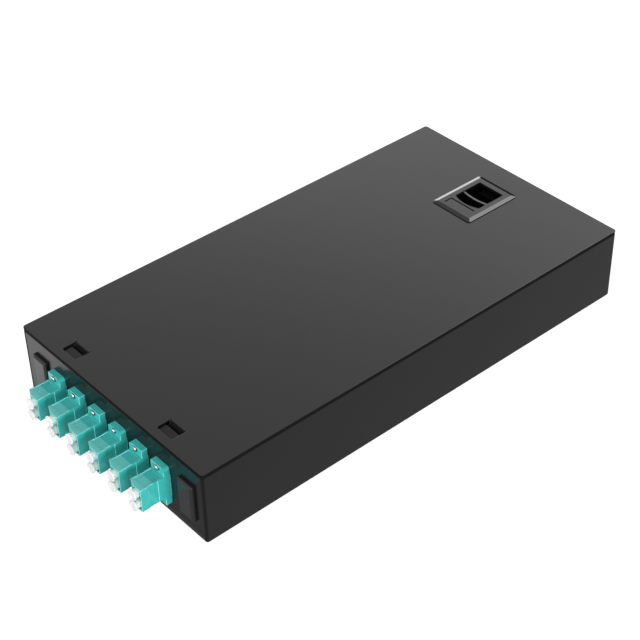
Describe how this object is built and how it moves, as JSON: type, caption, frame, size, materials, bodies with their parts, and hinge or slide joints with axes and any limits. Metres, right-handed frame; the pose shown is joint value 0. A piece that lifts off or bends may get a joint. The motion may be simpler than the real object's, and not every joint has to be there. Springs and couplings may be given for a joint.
{
  "type": "wall-mount fibre termination box",
  "caption": "Flat black sheet-steel box with a hooked, slide-latched lid, upright duplex fibre adapters with dust caps on its front, and a splice tray and cable clamps inside.",
  "frame": {"origin": "middle of the wall face, the underside of the base as the box lies on its back", "axes": "+Z out of the wall through the lid, +Y from the adapter panel to the cable entries, +X to the right seen from the adapter side"},
  "size_m": [0.135, 0.2811, 0.041],
  "materials": {
    "box_sheet": "fine black powder coat, low sheen",
    "lid_sheet": "fine black powder coat, low sheen",
    "adapter_plastic": "moulded aqua, soft gloss",
    "cap_plastic": "milky translucent",
    "blank_plastic": "moulded black, satin",
    "latch_plastic": "moulded black, satin",
    "slider_plastic": "moulded black, satin",
    "sleeve_ceramic": "ground white zirconia",
    "bright_steel": "bright nickel plate",
    "zinc_steel": "clear zinc plate",
    "plated_brass": "turned",
    "grommet_rubber": "matt black",
    "tray_plastic": "moulded black",
    "comb_plastic": "moulded white"
  },
  "bodies": {
    "box": {"base_tray": "box_sheet", "alignment_sleeves": "sleeve_ceramic", "adapter_screws": "bright_steel", "adapter_nuts": "bright_steel", "blank_plug_left": "blank_plastic", "blank_plug_right": "blank_plastic", "splice_tray": "tray_plastic", "splice_comb": "comb_plastic", "tray_pillars": "plated_brass", "tray_screws": "bright_steel", "cable_grommet_left": "grommet_rubber", "cable_grommet_right": "grommet_rubber", "cable_saddle_left": "zinc_steel", "cable_saddle_right": "zinc_steel", "cable_clamp_left": "zinc_steel", "cable_clamp_right": "zinc_steel", "clamp_screws": "bright_steel", "clamp_nuts": "bright_steel", "earth_stud": "plated_brass", "earth_nut": "plated_brass", "lc_adapter_1": "adapter_plastic", "lc_adapter_2": "adapter_plastic", "lc_adapter_3": "adapter_plastic", "lc_adapter_4": "adapter_plastic", "lc_adapter_5": "adapter_plastic", "lc_adapter_6": "adapter_plastic", "lc_adapter_rear_1": "adapter_plastic", "lc_adapter_rear_2": "adapter_plastic", "lc_adapter_rear_3": "adapter_plastic", "lc_adapter_rear_4": "adapter_plastic", "lc_adapter_rear_5": "adapter_plastic", "lc_adapter_rear_6": "adapter_plastic"},
    "lid_plate": {"lid": "lid_sheet", "latch_bezel": "latch_plastic", "latch_retainer": "latch_plastic", "latch_screws": "bright_steel"},
    "latch": {"latch_slider": "slider_plastic"},
    "cap_1_upper": {"dust_cap_1_upper": "cap_plastic"},
    "cap_1_lower": {"dust_cap_1_lower": "cap_plastic"},
    "cap_2_upper": {"dust_cap_2_upper": "cap_plastic"},
    "cap_2_lower": {"dust_cap_2_lower": "cap_plastic"},
    "cap_3_upper": {"dust_cap_3_upper": "cap_plastic"},
    "cap_3_lower": {"dust_cap_3_lower": "cap_plastic"},
    "cap_4_upper": {"dust_cap_4_upper": "cap_plastic"},
    "cap_4_lower": {"dust_cap_4_lower": "cap_plastic"},
    "cap_5_upper": {"dust_cap_5_upper": "cap_plastic"},
    "cap_5_lower": {"dust_cap_5_lower": "cap_plastic"},
    "cap_6_upper": {"dust_cap_6_upper": "cap_plastic"},
    "cap_6_lower": {"dust_cap_6_lower": "cap_plastic"}
  },
  "joints": [
    {"name": "lid_tilt", "type": "hinge", "parent": "box", "child": "lid_plate", "pos_m": [0, -0.13, 0.072], "axis": [1, 0, 0], "range_deg": [0, 40]},
    {"name": "latch_slide", "type": "slide", "parent": "lid_plate", "child": "latch", "axis": [0, 1, 0], "range_m": [0, 0.0035]},
    {"name": "cap_1_upper_pull", "type": "slide", "parent": "box", "child": "cap_1_upper", "axis": [0, -1, 0], "range_m": [0, 0.012]},
    {"name": "cap_1_lower_pull", "type": "slide", "parent": "box", "child": "cap_1_lower", "axis": [0, -1, 0], "range_m": [0, 0.012]},
    {"name": "cap_2_upper_pull", "type": "slide", "parent": "box", "child": "cap_2_upper", "axis": [0, -1, 0], "range_m": [0, 0.012]},
    {"name": "cap_2_lower_pull", "type": "slide", "parent": "box", "child": "cap_2_lower", "axis": [0, -1, 0], "range_m": [0, 0.012]},
    {"name": "cap_3_upper_pull", "type": "slide", "parent": "box", "child": "cap_3_upper", "axis": [0, -1, 0], "range_m": [0, 0.012]},
    {"name": "cap_3_lower_pull", "type": "slide", "parent": "box", "child": "cap_3_lower", "axis": [0, -1, 0], "range_m": [0, 0.012]},
    {"name": "cap_4_upper_pull", "type": "slide", "parent": "box", "child": "cap_4_upper", "axis": [0, -1, 0], "range_m": [0, 0.012]},
    {"name": "cap_4_lower_pull", "type": "slide", "parent": "box", "child": "cap_4_lower", "axis": [0, -1, 0], "range_m": [0, 0.012]},
    {"name": "cap_5_upper_pull", "type": "slide", "parent": "box", "child": "cap_5_upper", "axis": [0, -1, 0], "range_m": [0, 0.012]},
    {"name": "cap_5_lower_pull", "type": "slide", "parent": "box", "child": "cap_5_lower", "axis": [0, -1, 0], "range_m": [0, 0.012]},
    {"name": "cap_6_upper_pull", "type": "slide", "parent": "box", "child": "cap_6_upper", "axis": [0, -1, 0], "range_m": [0, 0.012]},
    {"name": "cap_6_lower_pull", "type": "slide", "parent": "box", "child": "cap_6_lower", "axis": [0, -1, 0], "range_m": [0, 0.012]}
  ]
}
